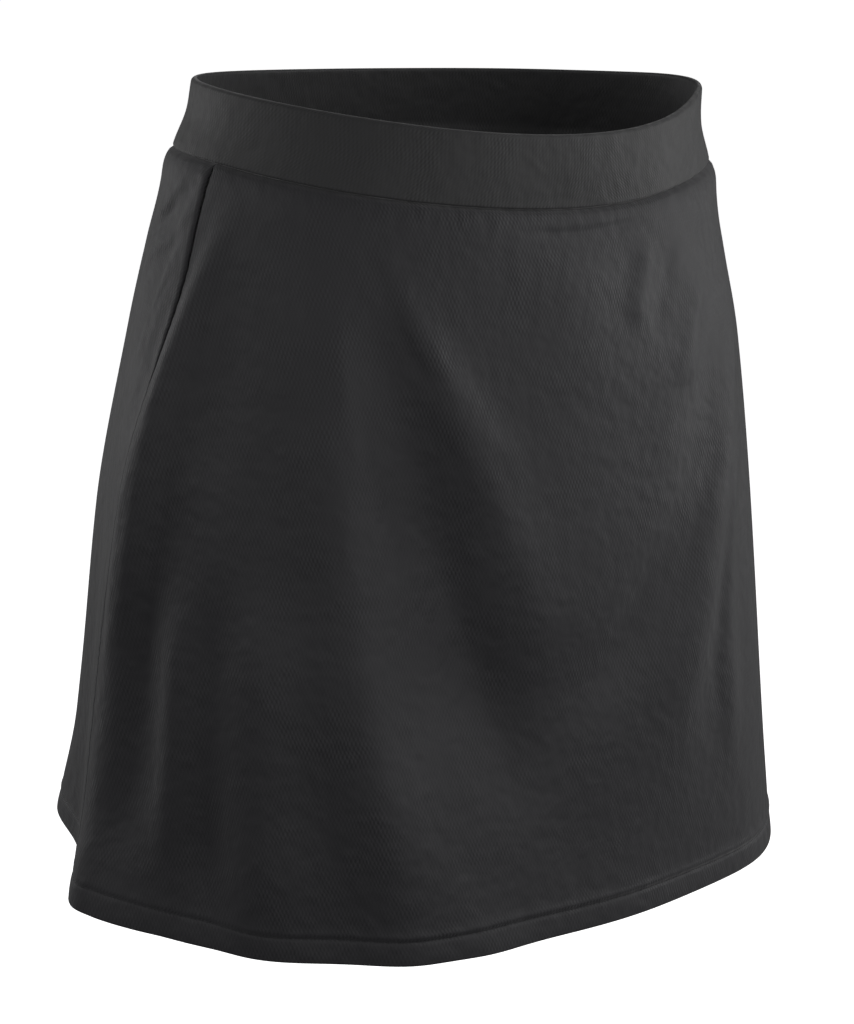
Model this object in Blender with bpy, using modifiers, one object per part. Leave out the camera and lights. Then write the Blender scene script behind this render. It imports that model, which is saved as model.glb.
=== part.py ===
"""Tennis skort, filled out as if worn: a folded waistband, a front and a back skirt panel with
turned-up hems, and the two legs of the shorts that hang inside from the same waist seam.

Metres, +Z up. The front faces -Y and the wearer's right is -X. The origin is the middle of the
waistband. Angles are in degrees round the garment, 0 at the centre front, 90 at the wearer's
right side, 180 at the centre back. Levels are measured down from the waist seam.
"""

from math import cos, degrees, exp, hypot, radians, sin
from typing import NamedTuple

import bpy

# Driving dimensions
BAND_HEIGHT = 0.030
SKIRT_LENGTH = 0.340
HEM_DEPTH = 0.0115
SHORTS_LENGTH = 0.300
SEAM_GAP = 0.0003
SEAM_LEVEL = -BAND_HEIGHT / 2

# Small relief of the cloth, outwards
WAIST_SEAM_TUCK = 0.0007
WAIST_SEAM_TUCK_REACH = 0.0016
WAIST_PUFF = 0.0026
WAIST_PUFF_LEVEL = 0.010
BAND_CROWN = 0.0006
BAND_TOP_ROUND = 0.0011
BAND_ROUND_START = 0.93
HEM_PUFF = 0.0007
HEM_PUFF_TURN = 110.0
HEM_STITCH_TUCK = 0.0005
HEM_STITCH_REACH = 0.0012
SIDE_SEAM_TURN_START = 0.040
SIDE_SEAM_TURN_REACH = 0.240
SIDE_SEAM_TUCK = 0.0014
SIDE_SEAM_REACH = 1.4
SIDE_SEAM_START = 0.025

# The waist stands higher at the wearer's left, its seam drops towards the back, and it comes to
# a soft point at each side
LEFT_LIFT_ANGLE = -60.0
LEFT_LIFT_WIDTH = 38.0
LEFT_DROP_START = 20.0
LEFT_DROP_REACH = 48.0
RIGHT_DROP_START = 80.0
RIGHT_DROP_REACH = 82.0
LEFT_POINT_ANGLE = -65.0
LEFT_POINT_WIDTH = 17.0
RIGHT_POINT_ANGLE = 112.0
RIGHT_POINT_WIDTH = 25.0

# Mesh densities
BAND_COLUMNS = 72
PANEL_COLUMNS = 58
EDGE_CROWDING = 0.62
SHORTS_OUTER_COLUMNS = 22
SHORTS_INNER_COLUMNS = 14
SHORTS_ROWS = 9

# Levels of the rows of points: shares of the band's height, depths below the waist seam, and
# depths below the top of the hem
BAND_SHARES = (1.0, 0.975, 0.93, 0.72, 0.50, 0.28, 0.10)
SKIRT_LEVELS = (0.011, 0.028, 0.052, 0.080, 0.112, 0.147, 0.183, 0.219, 0.254, 0.286, 0.312)
HEM_LEVELS = (-0.0030, 0.0, 0.0022, 0.0075, HEM_DEPTH)


class Ring(NamedTuple):
    """An oval section of the skirt or the band, with its tilt."""

    level: float
    half_width: float
    half_depth: float
    back_shift: float
    front_dip: float
    side_lift: float
    left_lift: float
    back_drop: float
    left_point: float
    right_point: float


class Fold(NamedTuple):
    """A soft ridge, or with a negative depth a trough, that runs down the skirt."""

    top_angle: float
    hem_angle: float
    bow: float
    start: float
    full: float
    end: float
    front_width: float
    back_width: float
    depth: float


class SideSeam(NamedTuple):
    """A side seam's angle at the waist and, once it has turned, at the hem."""

    top_angle: float
    hem_angle: float


class Cloth(NamedTuple):
    """A cloth: its material's name, its wall, its colour and how rough it is."""

    slot: str
    wall: float
    colour: tuple[float, float, float, float]
    roughness: float


# level, half_width, half_depth, back_shift, front_dip, side_lift, left_lift, back_drop,
# left_point, right_point
RINGS = (
    Ring(-0.0300, 0.1379, 0.0974, 0.0000, 0.0090, 0.0034, 0.0088, 0.0000, 0.0042, 0.0006),
    Ring(-0.0150, 0.1418, 0.0994, 0.0000, 0.0112, 0.0029, 0.0094, 0.0022, 0.0000, -0.0010),
    Ring(0.0000, 0.1463, 0.1016, 0.0000, 0.0134, 0.0024, 0.0100, 0.0065, 0.0032, 0.0021),
    Ring(0.0160, 0.1513, 0.1055, 0.0000, 0.0132, 0.0022, 0.0092, 0.0060, 0.0004, 0.0004),
    Ring(0.0425, 0.1593, 0.1118, -0.0001, 0.0128, 0.0019, 0.0080, 0.0040, 0.0000, 0.0009),
    Ring(0.0850, 0.1705, 0.1205, -0.0003, 0.0122, 0.0013, 0.0061, 0.0015, 0.0000, 0.0000),
    Ring(0.1700, 0.1854, 0.1321, -0.0005, 0.0110, 0.0002, 0.0022, 0.0000, 0.0000, 0.0000),
    Ring(0.2550, 0.1963, 0.1407, -0.0008, 0.0098, -0.0009, -0.0018, 0.0000, 0.0000, 0.0000),
    Ring(0.3400, 0.2066, 0.1487, -0.0011, 0.0086, -0.0033, -0.0057, 0.0000, 0.0000, 0.0000),
)

# top_angle, hem_angle, bow, start, full, end (0 reaches the hem), front_width, back_width, depth
FOLDS = (
    # Wearer's right: the crest over the side seam, the trough behind it and the next rolls
    Fold(88.0, 82.0, 0.0, 0.040, 0.145, 0.0, 13.0, 13.0, 0.0088),
    Fold(77.0, 97.0, 5.0, 0.004, 0.055, 0.300, 4.5, 3.0, 0.0046),
    Fold(88.0, 106.0, 1.0, 0.004, 0.032, 0.150, 6.0, 3.0, 0.0022),
    Fold(92.0, 92.0, 0.0, 0.290, 0.338, 0.0, 8.0, 7.0, 0.0080),
    Fold(120.5, 115.5, 0.5, 0.020, 0.330, 0.0, 13.0, 13.0, -0.0110),
    Fold(132.0, 133.0, -6.0, 0.036, 0.175, 0.0, 11.0, 11.0, 0.0068),
    Fold(135.0, 137.0, -1.0, 0.280, 0.340, 0.0, 9.0, 11.0, 0.0060),
    # The troughs in front of the crest
    Fold(68.5, 90.0, 1.0, 0.018, 0.128, 0.0, 8.0, 5.0, -0.0064),
    Fold(71.5, 78.0, 7.5, 0.130, 0.287, 0.0, 9.0, 12.0, -0.0115),
    Fold(70.0, 66.0, 2.5, 0.220, 0.320, 0.0, 3.0, 9.0, -0.0075),
    # Front: the long diagonals from the right hip towards the centre of the hem
    Fold(57.0, 37.0, 2.5, 0.004, 0.140, 0.0, 6.5, 7.5, 0.0058),
    Fold(54.5, 16.5, -5.0, 0.004, 0.200, 0.300, 6.0, 9.5, -0.0130),
    Fold(53.0, 13.0, -15.0, 0.010, 0.070, 0.260, 5.0, 4.0, 0.0042),
    Fold(54.0, 26.0, 10.0, 0.160, 0.268, 0.0, 7.0, 9.5, 0.0053),
    # Front: the swell under the waist and the long diagonals from the left hip
    Fold(9.0, -6.0, 1.0, 0.012, 0.037, 0.100, 11.0, 13.0, 0.0031),
    Fold(-23.5, 50.0, -13.0, 0.036, 0.090, 0.220, 6.5, 6.5, 0.0018),
    Fold(-61.0, -13.0, 20.0, 0.028, 0.150, 0.330, 6.5, 8.5, 0.0092),
    Fold(-68.0, -31.5, 15.0, 0.090, 0.335, 0.0, 12.5, 13.0, 0.0052),
    # Wearer's left
    Fold(-43.0, -65.0, 1.0, 0.004, 0.290, 0.0, 9.5, 13.0, -0.0015),
    Fold(-84.0, -91.0, -2.0, 0.030, 0.290, 0.0, 7.0, 8.0, 0.0100),
    Fold(-108.0, -113.0, 0.0, 0.070, 0.300, 0.0, 9.0, 8.0, -0.0080),
    # Back
    Fold(158.0, 161.0, 3.0, 0.060, 0.310, 0.0, 8.0, 9.0, -0.0070),
    Fold(179.0, 183.0, -3.0, 0.050, 0.290, 0.0, 9.0, 9.0, 0.0075),
    Fold(201.0, 204.0, 2.0, 0.080, 0.320, 0.0, 8.0, 8.0, -0.0060),
    Fold(224.0, 226.0, 3.0, 0.060, 0.300, 0.0, 9.0, 9.0, 0.0080),
)

RIGHT_SEAM = SideSeam(87.0, 100.0)
LEFT_SEAM = SideSeam(-88.0, -96.0)

SHORTS_RINGS = (
    Ring(0.0000, 0.1431, 0.0984, 0.0000, 0.0134, 0.0024, 0.0100, 0.0065, 0.0030, 0.0018),
    Ring(0.0300, 0.1490, 0.1034, 0.0000, 0.0126, 0.0020, 0.0086, 0.0050, 0.0000, 0.0000),
    Ring(0.0800, 0.1580, 0.1100, 0.0000, 0.0100, 0.0012, 0.0056, 0.0015, 0.0000, 0.0000),
    Ring(0.1400, 0.1640, 0.1145, 0.0000, 0.0060, 0.0000, 0.0024, 0.0000, 0.0000, 0.0000),
    Ring(0.2000, 0.1665, 0.1140, 0.0000, 0.0020, 0.0000, 0.0000, 0.0000, 0.0000, 0.0000),
    Ring(0.2500, 0.1665, 0.1090, 0.0000, 0.0000, 0.0000, 0.0000, 0.0000, 0.0000, 0.0000),
)
SHORTS_TOP = 0.0004
RISE = 0.232
RISE_Y_POWER = 0.60
RISE_LEVEL_POWER = 0.80
LEG_START = 0.246
LEG_CENTRE = 0.0860
LEG_BACK_SHIFT = 0.006
LEG_HALF_WIDTH = 0.0800
LEG_HALF_DEPTH = 0.0930
LEG_TAPER = 0.0030
LEG_DEPTH_DELAY = 1.8

BAND_CLOTH = Cloth("waistband_knit", 0.0034, (0.026, 0.026, 0.028, 1.0), 0.70)
SKIRT_CLOTH = Cloth("skirt_knit", 0.0016, (0.024, 0.024, 0.026, 1.0), 0.66)
SHORTS_CLOTH = Cloth("shorts_jersey", 0.0013, (0.014, 0.014, 0.015, 1.0), 0.75)


def ease(value):
    """Returns a soft step from 0 at value 0 to 1 at value 1."""
    held = min(max(value, 0.0), 1.0)
    return held * held * (3.0 - 2.0 * held)


def slope_at(rows, index, column):
    """Returns the slope of one column of a table at one of its rows."""
    before = rows[max(index - 1, 0)]
    after = rows[min(index + 1, len(rows) - 1)]
    return (after[column] - before[column]) / (after.level - before.level)


def row_at(rows, level):
    """Returns a table's values at a level, on a smooth curve through its rows."""
    low = max(i for i in range(len(rows) - 1) if i == 0 or rows[i].level <= level)
    span = rows[low + 1].level - rows[low].level
    share = min(max((level - rows[low].level) / span, 0.0), 1.0)
    square, cube = share * share, share**3
    values = [level]
    for column in range(1, len(rows[0])):
        values.append(
            (2 * cube - 3 * square + 1) * rows[low][column]
            + (cube - 2 * square + share) * span * slope_at(rows, low, column)
            + (3 * square - 2 * cube) * rows[low + 1][column]
            + (cube - square) * span * slope_at(rows, low + 1, column)
        )
    return type(rows[0])(*values)


def turned(angle):
    """Returns the angle between -180 and 180 degrees."""
    return (angle + 180.0) % 360.0 - 180.0


def fold_relief(fold, angle, level):
    """Returns how far one fold lifts the cloth at a place."""
    strength = ease((level - fold.start) / (fold.full - fold.start))
    if fold.end:
        strength *= 1.0 - ease((level - fold.full) / (fold.end - fold.full))
    share = min(max(level / SKIRT_LENGTH, 0.0), 1.0)
    line = fold.top_angle + (fold.hem_angle - fold.top_angle) * share
    line += 4.0 * fold.bow * share * (1.0 - share)
    away = turned(angle - line)
    width = fold.back_width if away > 0.0 else fold.front_width
    return strength * fold.depth * exp(-((away / width) ** 2))


def seam_angle(seam, level):
    """Returns the angle of a side seam at a level."""
    share = ease((level - SIDE_SEAM_TURN_START) / SIDE_SEAM_TURN_REACH)
    return seam.top_angle + (seam.hem_angle - seam.top_angle) * share


def skirt_relief(angle, level):
    """Returns how far the skirt's outer face stands out from its plain oval at a place."""
    relief = sum(fold_relief(fold, angle, level) for fold in FOLDS)
    for seam in (RIGHT_SEAM, LEFT_SEAM):
        away = turned(angle - seam_angle(seam, level)) / SIDE_SEAM_REACH
        relief -= SIDE_SEAM_TUCK * ease(level / SIDE_SEAM_START) * exp(-away * away)
    relief -= WAIST_SEAM_TUCK * exp(-((level / WAIST_SEAM_TUCK_REACH) ** 2))
    relief += WAIST_PUFF * level / WAIST_PUFF_LEVEL * exp(1.0 - level / WAIST_PUFF_LEVEL)
    into_hem = level - (SKIRT_LENGTH - HEM_DEPTH)
    into_share = min(max(into_hem / HEM_DEPTH, 0.0), 1.0)
    relief += HEM_PUFF * sin(radians(HEM_PUFF_TURN * into_share))
    return relief - HEM_STITCH_TUCK * exp(-((into_hem / HEM_STITCH_REACH) ** 2))


def toward_back(angle):
    """Returns 0 round the front and 1 round the back, with a soft step at each side."""
    side = turned(angle)
    if side > 0.0:
        return ease((side - RIGHT_DROP_START) / RIGHT_DROP_REACH)
    return ease((-side - LEFT_DROP_START) / LEFT_DROP_REACH)


def tilt(ring, angle):
    """Returns how much higher a ring stands at an angle than its level says."""
    turn = radians(angle)
    lift = ring.left_lift * exp(-((turned(angle - LEFT_LIFT_ANGLE) / LEFT_LIFT_WIDTH) ** 2))
    lift -= ring.front_dip * cos(turn) + ring.side_lift * cos(2 * turn)
    return lift - ring.back_drop * toward_back(angle)


def oval_point(ring, angle, relief):
    """Returns a point at an angle on a ring, moved straight out from it."""
    turn = radians(angle)
    left = turned(angle - LEFT_POINT_ANGLE) / LEFT_POINT_WIDTH
    right = turned(angle - RIGHT_POINT_ANGLE) / RIGHT_POINT_WIDTH
    out = relief + ring.left_point * exp(-left * left) + ring.right_point * exp(-right * right)
    across, along = sin(turn) / ring.half_width, cos(turn) / ring.half_depth
    length = hypot(across, along)
    return (
        -ring.half_width * sin(turn) - out * across / length,
        ring.back_shift - ring.half_depth * cos(turn) - out * along / length,
        SEAM_LEVEL - ring.level + tilt(ring, angle),
    )


def skirt_point(angle, level):
    """Returns the skirt's outer face at an angle and a level."""
    return oval_point(row_at(RINGS, level), angle, skirt_relief(angle, level))


def band_point(angle, level):
    """Returns the waistband's outer face: crowned, tucked in at its seam, rounded at its top."""
    up = -level / BAND_HEIGHT
    crown = BAND_CROWN * 4.0 * up * (1.0 - up)
    tuck = WAIST_SEAM_TUCK * exp(-((level / WAIST_SEAM_TUCK_REACH) ** 2))
    top = BAND_TOP_ROUND * ease((up - BAND_ROUND_START) / (1.0 - BAND_ROUND_START))
    return oval_point(row_at(RINGS, level), angle, crown - tuck - top)


def band_rows():
    """Returns the waistband's points, row by row from its top to its seam."""
    levels = [-share * BAND_HEIGHT for share in BAND_SHARES] + [-SEAM_GAP / 2]
    turns = [360.0 * column / BAND_COLUMNS for column in range(BAND_COLUMNS)]
    return [[band_point(turn, level) for turn in turns] for level in levels]


def panel_shares():
    """Returns the places of a panel's columns from 0 to 1, closer together at the side seams."""
    shares = []
    for column in range(PANEL_COLUMNS + 1):
        even = column / PANEL_COLUMNS
        crowded = (1.0 - cos(radians(180.0 * even))) / 2.0
        shares.append(even + EDGE_CROWDING * (crowded - even))
    return shares


def panel_rows(first_seam, second_seam, whole_turn):
    """Returns a skirt panel's points from the waist seam to the hem, between two side seams."""
    hem_line = SKIRT_LENGTH - HEM_DEPTH
    levels = [SEAM_GAP / 2, *SKIRT_LEVELS, *(hem_line + level for level in HEM_LEVELS)]
    rows = []
    for level in levels:
        half_gap = degrees(SEAM_GAP / 2 / row_at(RINGS, level).half_depth)
        first = seam_angle(first_seam, level) + half_gap
        second = seam_angle(second_seam, level) + whole_turn - half_gap
        row = [skirt_point(first + (second - first) * share, level) for share in panel_shares()]
        rows.append(row)
    return rows


def trunk_point(side, turn, level):
    """Returns the shorts above the legs, at a turn from the centre front towards one side."""
    return oval_point(row_at(SHORTS_RINGS, level), side * turn, 0.0)


def leg_point(side, turn, level):
    """Returns the plain tube of one leg at a turn and a level."""
    narrower = LEG_TAPER * (level - LEG_START) / (SHORTS_LENGTH - LEG_START)
    around = radians(turn)
    return (
        -side * (LEG_CENTRE + (LEG_HALF_WIDTH - narrower) * sin(around)),
        LEG_BACK_SHIFT - (LEG_HALF_DEPTH - narrower) * cos(around),
        SEAM_LEVEL - level,
    )


def rise_start(side, turn):
    """Returns the level and the point where a column of the inner leg leaves the centre seam."""
    around = radians(360.0 - turn)
    level = SHORTS_TOP + (RISE - SHORTS_TOP) * sin(around) ** RISE_LEVEL_POWER
    middle = trunk_point(side, 0.0 if cos(around) > 0.0 else 180.0, level)
    return level, (0.0, middle[1] * abs(cos(around)) ** RISE_Y_POWER, middle[2])


def shorts_column(side, turn):
    """Returns one column of a leg of the shorts, from the waist or the centre seam down."""
    inner = turn > 180.0
    top_level, start = rise_start(side, turn) if inner else (SHORTS_TOP, None)
    column = []
    for row in range(SHORTS_ROWS + 1):
        level = top_level + (SHORTS_LENGTH - top_level) * row / SHORTS_ROWS
        share = ease((level - top_level) / (LEG_START - top_level))
        above = start or trunk_point(side, turn, level)
        hang = above[2] - (level - top_level) if inner else above[2]
        leg = leg_point(side, turn, max(level, LEG_START))
        x = above[0] + (leg[0] - above[0]) * share
        y = above[1] + (leg[1] - above[1]) * share**LEG_DEPTH_DELAY
        z = hang + (SEAM_LEVEL - level - hang) * share
        column.append((-side * max(-side * x, SEAM_GAP / 2), y, z))
    return column


def shorts_rows(side):
    """Returns the points of one leg of the shorts: side 1 is the wearer's right, -1 the left."""
    outer = [180.0 * i / SHORTS_OUTER_COLUMNS for i in range(SHORTS_OUTER_COLUMNS + 1)]
    inner = [180.0 + 180.0 * i / SHORTS_INNER_COLUMNS for i in range(1, SHORTS_INNER_COLUMNS)]
    columns = [shorts_column(side, turn) for turn in outer + inner]
    rows = [[column[row] for column in columns] for row in range(SHORTS_ROWS + 1)]
    return rows if side > 0 else [row[::-1] for row in rows]


def cloth_material(cloth):
    """Returns a plain material for a cloth."""
    material = bpy.data.materials.new(cloth.slot)
    material.use_nodes = True
    shader = material.node_tree.nodes["Principled BSDF"]
    shader.inputs["Base Color"].default_value = cloth.colour
    shader.inputs["Roughness"].default_value = cloth.roughness
    shader.inputs["Metallic"].default_value = 0.0
    return material


def sheet_faces(row_count, column_count, closed):
    """Returns the four-sided faces between rows of points, facing outwards."""
    spans = column_count if closed else column_count - 1
    faces = []
    for row in range(row_count - 1):
        for column in range(spans):
            after = (column + 1) % column_count
            here, below = row * column_count, (row + 1) * column_count
            faces.append((here + column, here + after, below + after, below + column))
    return faces


def sew(name, rows, closed, cloth, material, collection):
    """Makes a piece of cloth: an open sheet through rows of points, thickened inwards."""
    mesh = bpy.data.meshes.new(name)
    points = [point for row in rows for point in row]
    mesh.from_pydata(points, [], sheet_faces(len(rows), len(rows[0]), closed))
    mesh.materials.append(material)
    mesh.shade_smooth()
    piece = bpy.data.objects.new(name, mesh)
    collection.objects.link(piece)
    wall = piece.modifiers.new("Wall", "SOLIDIFY")
    wall.thickness = cloth.wall
    wall.offset = -1.0
    wall.use_even_offset = True
    wall.use_rim = True


def main():
    """Builds the skort's pieces."""
    for old in list(bpy.data.objects):
        bpy.data.objects.remove(old, do_unlink=True)
    skort = bpy.data.collections.new("tennis_skort")
    bpy.context.scene.collection.children.link(skort)
    band, skirt, shorts = map(cloth_material, (BAND_CLOTH, SKIRT_CLOTH, SHORTS_CLOTH))
    sew("waistband", band_rows(), True, BAND_CLOTH, band, skort)
    sew("skirt_front", panel_rows(LEFT_SEAM, RIGHT_SEAM, 0.0), False, SKIRT_CLOTH, skirt, skort)
    sew("skirt_back", panel_rows(RIGHT_SEAM, LEFT_SEAM, 360.0), False, SKIRT_CLOTH, skirt, skort)
    sew("shorts_right", shorts_rows(1), True, SHORTS_CLOTH, shorts, skort)
    sew("shorts_left", shorts_rows(-1), True, SHORTS_CLOTH, shorts, skort)


main()
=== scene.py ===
"""Looks of a tennis skort, filled out as if worn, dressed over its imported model.

Metres, +Z up. The front faces -Y and the wearer's right is -X. The origin is the middle of the
waistband. Angles go round the garment in degrees: 0 at the centre front, 90 at the wearer's right,
180 at the centre back. Levels are measured down from the waist seam, and insets inwards from the
outer face of the cloth.
"""

import logging
from collections.abc import Mapping
from dataclasses import astuple, dataclass, replace
from enum import Enum

import bpy
import numpy as np
from mathutils import Matrix, Vector
from numpy.typing import NDArray


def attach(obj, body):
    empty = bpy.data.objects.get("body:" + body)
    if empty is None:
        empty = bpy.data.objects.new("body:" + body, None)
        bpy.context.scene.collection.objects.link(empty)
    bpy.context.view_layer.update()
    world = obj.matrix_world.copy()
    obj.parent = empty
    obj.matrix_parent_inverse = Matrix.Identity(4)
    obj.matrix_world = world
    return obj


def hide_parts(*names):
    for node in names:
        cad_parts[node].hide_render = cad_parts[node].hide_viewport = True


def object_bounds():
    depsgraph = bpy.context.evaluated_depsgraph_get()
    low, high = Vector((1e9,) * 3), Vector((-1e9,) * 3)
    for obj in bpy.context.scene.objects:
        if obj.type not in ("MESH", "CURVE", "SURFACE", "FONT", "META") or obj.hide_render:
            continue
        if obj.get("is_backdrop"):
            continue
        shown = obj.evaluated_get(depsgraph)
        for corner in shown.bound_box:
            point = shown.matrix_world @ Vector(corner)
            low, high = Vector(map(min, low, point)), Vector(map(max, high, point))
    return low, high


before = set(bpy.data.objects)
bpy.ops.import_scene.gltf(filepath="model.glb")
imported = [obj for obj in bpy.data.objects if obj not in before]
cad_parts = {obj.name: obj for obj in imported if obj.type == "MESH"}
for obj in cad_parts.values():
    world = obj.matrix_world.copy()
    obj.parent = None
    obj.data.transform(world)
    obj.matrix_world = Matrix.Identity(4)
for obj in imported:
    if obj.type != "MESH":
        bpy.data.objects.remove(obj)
CAD_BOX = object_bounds()

logging.basicConfig(level=logging.INFO, format="%(message)s")
log = logging.getLogger("tennis_skort")

Numbers = NDArray[np.float64]
Colour = tuple[float, float, float, float]
Point = tuple[float, float, float]

BODY = "root"
CLOTH_MAP = "cloth"
WHITE: Colour = (1.0, 1.0, 1.0, 1.0)

# Driving dimensions, as the solids have them
BAND_HEIGHT = 0.030
SEAM_LEVEL = -BAND_HEIGHT / 2
SKIRT_LENGTH = 0.340
HEM_DEPTH = 0.0115
HEM_LINE = SKIRT_LENGTH - HEM_DEPTH
SHORTS_LENGTH = 0.300


def ease(value: Numbers) -> Numbers:
    """Steps softly from 0 to 1.

    Args:
        value: Where to read the step, which starts at 0 and ends at 1.

    Returns:
        The step's height at each value.
    """
    held = np.clip(value, 0.0, 1.0)
    return held * held * (3.0 - 2.0 * held)


def mound(away: Numbers) -> Numbers:
    """Returns a soft mound, 1 high at 0 and about one unit wide on each side."""
    return np.exp(-away * away)


def turned(angle: Numbers) -> Numbers:
    """Returns the same angle between -180 and 180 degrees."""
    return (angle + 180.0) % 360.0 - 180.0


def fold_over(level: float, radius: float, steps: int, way: float = 1.0) -> Numbers:
    """Finds the rows round a folded edge, from the cloth's outer face to its inner face.

    Args:
        level: Where the fold starts.
        radius: Half of how thick the folded edge is.
        steps: How many rows it has.
        way: 1 for an edge that is folded at its bottom, -1 at its top.

    Returns:
        The rows, each a level and an inset.
    """
    turn = np.radians(np.linspace(0.0, 180.0, steps))
    levels = level + way * radius * np.sin(turn)
    return np.stack((levels, radius - radius * np.cos(turn)), axis=-1)


@dataclass(frozen=True)
class Value:
    """One number that varies over a surface, among a material's nodes, with its arithmetic."""

    bench: "NodeBench"
    socket: bpy.types.NodeSocket

    def __add__(self, other: "Value | float") -> "Value":
        """Returns self + other."""
        return self.bench.math("ADD", self, other)

    def __radd__(self, other: float) -> "Value":
        """Returns other + self."""
        return self.bench.math("ADD", other, self)

    def __sub__(self, other: "Value | float") -> "Value":
        """Returns self - other."""
        return self.bench.math("SUBTRACT", self, other)

    def __rsub__(self, other: float) -> "Value":
        """Returns other - self."""
        return self.bench.math("SUBTRACT", other, self)

    def __mul__(self, other: "Value | float") -> "Value":
        """Returns self * other."""
        return self.bench.math("MULTIPLY", self, other)

    def __rmul__(self, other: float) -> "Value":
        """Returns other * self."""
        return self.bench.math("MULTIPLY", other, self)

    def __abs__(self) -> "Value":
        """Returns the size of self without its sign."""
        return self.bench.math("ABSOLUTE", self)

    def wave(self, period: float) -> "Value":
        """Returns a sine from -1 to 1 that repeats each period, in metres."""
        return self.bench.math("SINE", self * (2.0 * np.pi / period))


class NodeBench:
    """Builds one material's nodes round its Principled shader."""

    def __init__(self, name: str) -> None:
        """Starts a material with this name."""
        self.material = bpy.data.materials.new(name)
        self.material.use_nodes = True
        self.tree = self.material.node_tree
        self.shader = self.tree.nodes["Principled BSDF"]

    def node(
        self, kind: str, settings: Mapping[str, object], inputs: Mapping[str | int, object]
    ) -> bpy.types.Node:
        """Adds a node.

        Args:
            kind: The node's type, such as ShaderNodeMath.
            settings: Its properties, such as a Math node's operation.
            inputs: The link or the constant of each socket, by its name or its number.

        Returns:
            The new node.
        """
        node = self.tree.nodes.new(kind)
        for name, value in settings.items():
            setattr(node, name, value)
        for key, value in inputs.items():
            self.feed(node.inputs[key], value)
        return node

    def feed(self, socket: bpy.types.NodeSocket, value: object) -> None:
        """Links a value to an input socket, or gives the socket a constant."""
        source = value.socket if isinstance(value, Value) else value
        if isinstance(source, bpy.types.NodeSocket):
            self.tree.links.new(source, socket)
        else:
            socket.default_value = source

    def set_constants(self, constants: Mapping[str, float]) -> None:
        """Gives the shader's own sockets numbers that are the same all over."""
        for name, value in constants.items():
            self.shader.inputs[name].default_value = value

    def math(self, operation: str, *numbers: "Value | float") -> Value:
        """Returns the result of one Math node."""
        node = self.node("ShaderNodeMath", {"operation": operation}, dict(enumerate(numbers)))
        return Value(self, node.outputs[0])

    def cloth_place(self) -> tuple[Value, Value]:
        """Returns how far across and how far down the cloth a place lies, in metres."""
        place = self.node("ShaderNodeUVMap", {"uv_map": CLOTH_MAP}, {})
        parts = self.node("ShaderNodeSeparateXYZ", {}, {0: place.outputs[0]})
        return Value(self, parts.outputs[0]), Value(self, parts.outputs[1])

    def noise(self, patch: float, detail: float = 1.0) -> Value:
        """Returns a soft noise from 0 to 1.

        Args:
            patch: How wide its patches are, in metres.
            detail: How many finer layers it has.

        Returns:
            The noise at each place.
        """
        place = self.node("ShaderNodeTexCoord", {}, {})
        source = {"Vector": place.outputs["Object"], "Scale": 1.0 / patch, "Detail": detail}
        return Value(self, self.node("ShaderNodeTexNoise", {}, source).outputs[0])

    def tint(self, share: Value, low: Colour, high: Colour) -> bpy.types.NodeSocket:
        """Returns a colour between two, by a share from 0 to 1."""
        mix = self.node("ShaderNodeMix", {"data_type": "RGBA"}, {0: share, 6: low, 7: high})
        return mix.outputs[2]

    def raise_surface(self, height: Value, depth: float) -> None:
        """Bends the shader's normal over a relief that rises depth metres for a height of 1."""
        relief = self.node("ShaderNodeBump", {}, {"Distance": depth, "Height": height})
        self.feed(self.shader.inputs["Normal"], relief.outputs[0])


class Stitch(Enum):
    """How a cloth is knitted."""

    BIRDSEYE = "birdseye"
    JERSEY = "jersey"


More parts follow.
